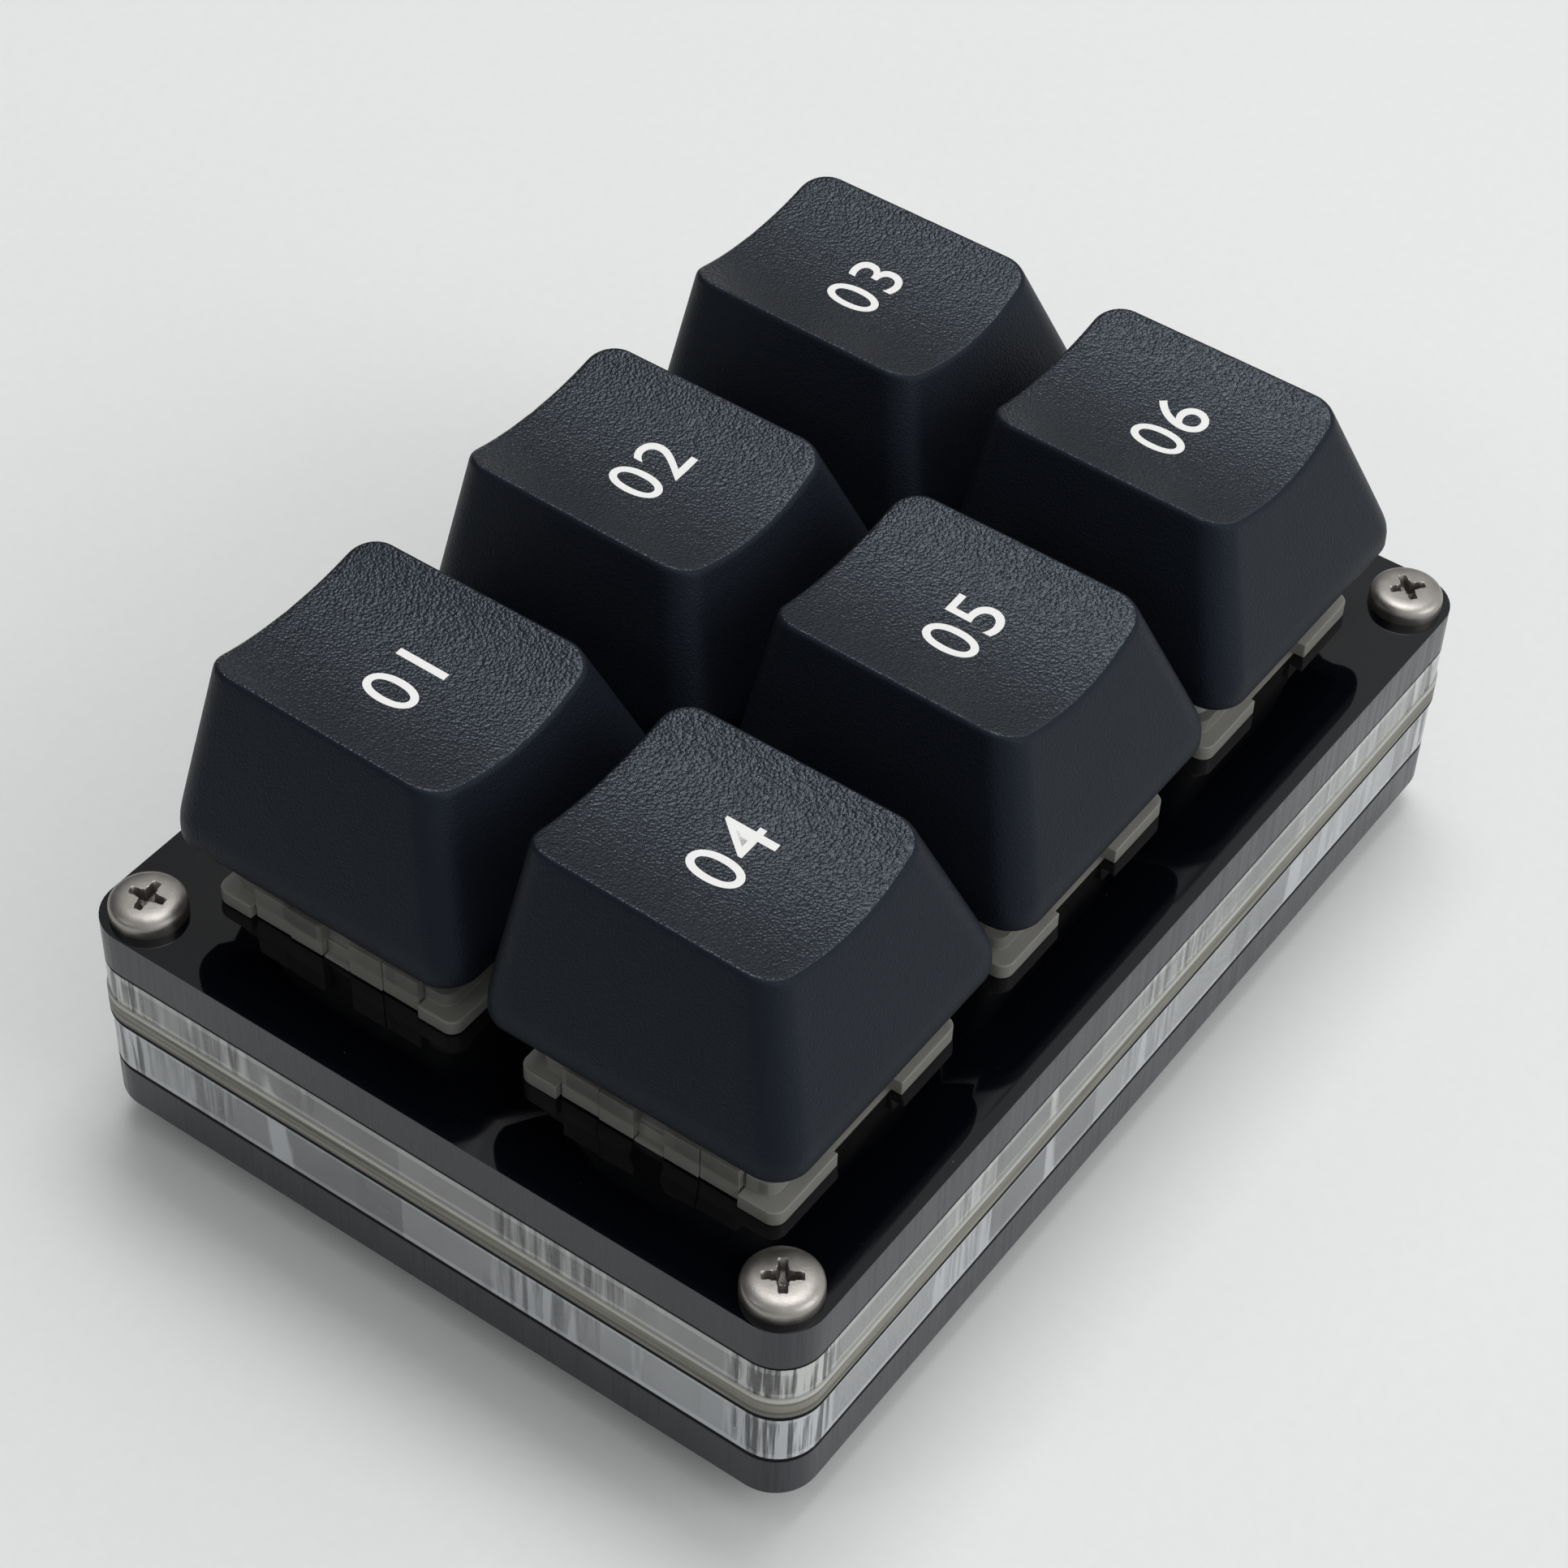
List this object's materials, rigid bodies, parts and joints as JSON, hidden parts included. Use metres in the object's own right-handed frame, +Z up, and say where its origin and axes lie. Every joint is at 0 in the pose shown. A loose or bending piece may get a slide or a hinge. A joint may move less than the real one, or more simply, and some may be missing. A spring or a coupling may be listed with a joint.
{
  "type": "macro keypad",
  "caption": "Small desk macro keypad: sprung push keys with dished caps on a stacked acrylic case with a sandwiched circuit board, corner screws and rubber feet.",
  "frame": {"origin": "on the desk, under the middle of the case", "axes": "+X along a row of keys to the typist's right, +Y away from the typist, +Z up out of the keys"},
  "size_m": [0.0632, 0.0436, 0.0294],
  "materials": {
    "keycap": "fine grained, near black",
    "stem": "smooth moulded",
    "spring_steel": "bright wire",
    "housing": "milky translucent moulding",
    "contact_metal": "stamped sheet",
    "black_acrylic": "polished faces, laser-cut edges",
    "clear_acrylic": "clear, laser-cut edges",
    "board": "solder mask faces, bare routed edge",
    "foot_rubber": "soft moulded",
    "fastener": "nickel plated",
    "socket_shell": "bright folded sheet",
    "socket_plastic": "moulded insulator",
    "chip_plastic": "moulded package",
    "lead_metal": "tinned",
    "passive_ceramic": "ceramic with tinned ends"
  },
  "bodies": {
    "case": {"top_plate": "black_acrylic", "upper_frame": "clear_acrylic", "circuit_board": "board", "lower_frame": "clear_acrylic", "bottom_plate": "black_acrylic", "rubber_feet": "foot_rubber", "case_screws": "fastener", "usb_shell": "socket_shell", "usb_tongue": "socket_plastic", "controller_chip": "chip_plastic", "controller_leads": "lead_metal", "diodes": "chip_plastic", "passives": "passive_ceramic", "spring_1": "spring_steel", "spring_2": "spring_steel", "spring_3": "spring_steel", "spring_4": "spring_steel", "spring_5": "spring_steel", "spring_6": "spring_steel", "upper_housing_1": "housing", "upper_housing_2": "housing", "upper_housing_3": "housing", "upper_housing_4": "housing", "upper_housing_5": "housing", "upper_housing_6": "housing", "lower_housing_1": "housing", "lower_housing_2": "housing", "lower_housing_3": "housing", "lower_housing_4": "housing", "lower_housing_5": "housing", "lower_housing_6": "housing", "fixed_contact_1": "contact_metal", "fixed_contact_2": "contact_metal", "fixed_contact_3": "contact_metal", "fixed_contact_4": "contact_metal", "fixed_contact_5": "contact_metal", "fixed_contact_6": "contact_metal", "contact_leaf_1": "contact_metal", "contact_leaf_2": "contact_metal", "contact_leaf_3": "contact_metal", "contact_leaf_4": "contact_metal", "contact_leaf_5": "contact_metal", "contact_leaf_6": "contact_metal"},
    "key_1": {"keycap_1": "keycap", "stem_1": "stem"},
    "key_2": {"keycap_2": "keycap", "stem_2": "stem"},
    "key_3": {"keycap_3": "keycap", "stem_3": "stem"},
    "key_4": {"keycap_4": "keycap", "stem_4": "stem"},
    "key_5": {"keycap_5": "keycap", "stem_5": "stem"},
    "key_6": {"keycap_6": "keycap", "stem_6": "stem"}
  },
  "joints": [
    {"name": "key_1_press", "type": "slide", "parent": "case", "child": "key_1", "axis": [0, 0, 1], "range_m": [-0.004, 0], "stiffness_N_per_m": 75, "springref_m": 0.004, "deforming": ["spring_1"]},
    {"name": "key_2_press", "type": "slide", "parent": "case", "child": "key_2", "axis": [0, 0, 1], "range_m": [-0.004, 0], "stiffness_N_per_m": 75, "springref_m": 0.004, "deforming": ["spring_2"]},
    {"name": "key_3_press", "type": "slide", "parent": "case", "child": "key_3", "axis": [0, 0, 1], "range_m": [-0.004, 0], "stiffness_N_per_m": 75, "springref_m": 0.004, "deforming": ["spring_3"]},
    {"name": "key_4_press", "type": "slide", "parent": "case", "child": "key_4", "axis": [0, 0, 1], "range_m": [-0.004, 0], "stiffness_N_per_m": 75, "springref_m": 0.004, "deforming": ["spring_4"]},
    {"name": "key_5_press", "type": "slide", "parent": "case", "child": "key_5", "axis": [0, 0, 1], "range_m": [-0.004, 0], "stiffness_N_per_m": 75, "springref_m": 0.004, "deforming": ["spring_5"]},
    {"name": "key_6_press", "type": "slide", "parent": "case", "child": "key_6", "axis": [0, 0, 1], "range_m": [-0.004, 0], "stiffness_N_per_m": 75, "springref_m": 0.004, "deforming": ["spring_6"]}
  ]
}
